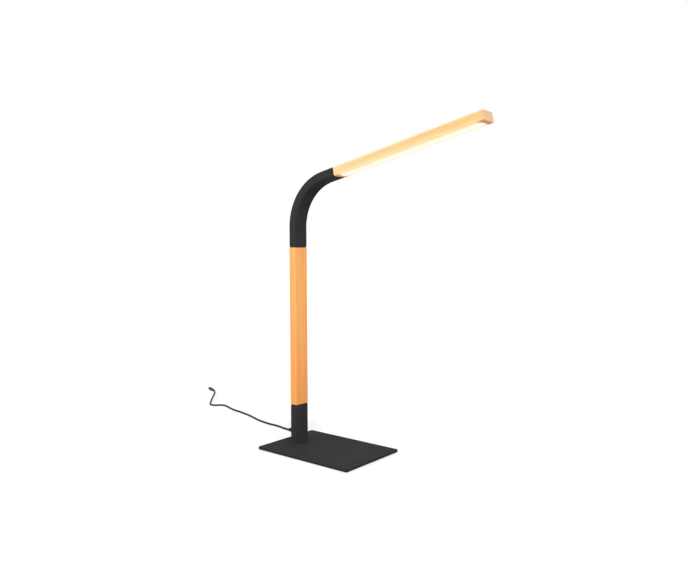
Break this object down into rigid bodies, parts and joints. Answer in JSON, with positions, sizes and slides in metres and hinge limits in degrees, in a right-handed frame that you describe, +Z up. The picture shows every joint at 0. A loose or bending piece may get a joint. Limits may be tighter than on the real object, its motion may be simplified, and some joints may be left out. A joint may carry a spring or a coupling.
{
  "type": "desk lamp",
  "caption": "Slim desk lamp: wood stem on a flat steel base, bent steel tube, rising wood light bar with an opal strip below, rear push-button dimmer and low-voltage cord.",
  "frame": {"origin": "centre of the base pad's underside, on the table", "axes": "+X from the column towards the free end of the light bar, +Z up, +Y to the left of someone facing +X"},
  "size_m": [0.8743, 0.2777, 0.5413],
  "materials": {
    "base_rubber": "matt non-slip sheet",
    "black_coat": "fine matt powder coat",
    "screw_steel": "zinc plated",
    "cast_aluminium": "as cast",
    "stem_wood": "oiled beech, straight grain along the stem",
    "bar_wood": "oiled beech, straight grain along the bar",
    "channel_aluminium": "anodised",
    "led_board_white": "white solder mask",
    "led_chip": "phosphor over a white frame",
    "white_plastic": "moulded",
    "opal_diffuser": "opal, lit from behind",
    "lead_sheath": "soft sheath",
    "black_plastic": "moulded",
    "board_green": "green solder mask",
    "black_rubber": "moulded",
    "cord_sheath": "smooth round sheath",
    "tie_wrap": "hook-and-loop strap",
    "plug_plastic": "moulded, soft sheen",
    "plug_metal": "nickel plated"
  },
  "bodies": {
    "lamp": {"base_pad": "base_rubber", "base_plate": "black_coat", "base_screws": "screw_steel", "foot_block": "cast_aluminium", "lower_tube": "black_coat", "lower_joiner": "cast_aluminium", "lower_gasket": "black_rubber", "stem": "stem_wood", "upper_gasket": "black_rubber", "upper_joiner": "cast_aluminium", "elbow_tube": "black_coat", "bar_joiner": "cast_aluminium", "bar_gasket": "black_rubber", "light_bar": "bar_wood", "led_channel": "channel_aluminium", "channel_screws": "screw_steel", "led_board": "led_board_white", "led_chips": "led_chip", "end_cap": "white_plastic", "diffuser": "opal_diffuser", "inner_lead": "lead_sheath", "board_carrier": "black_plastic", "dimmer_board": "board_green", "board_terminals": "white_plastic", "switch_body": "black_plastic", "switch_bezel": "black_plastic", "cord_gland": "black_rubber", "cord_inner_end": "cord_sheath", "cord_lead": "cord_sheath", "cord_hank": "cord_sheath", "hank_tie": "tie_wrap", "cord_run": "cord_sheath", "plug_body": "plug_plastic", "plug_barrel": "plug_metal", "plug_insulator": "plug_plastic", "plug_contact": "plug_metal"},
    "button": {"switch_button": "black_plastic"}
  },
  "joints": [
    {"name": "button_press", "type": "slide", "parent": "lamp", "child": "button", "axis": [1, 0, 0], "range_m": [0, 0.0012], "stiffness_N_per_m": 800}
  ]
}
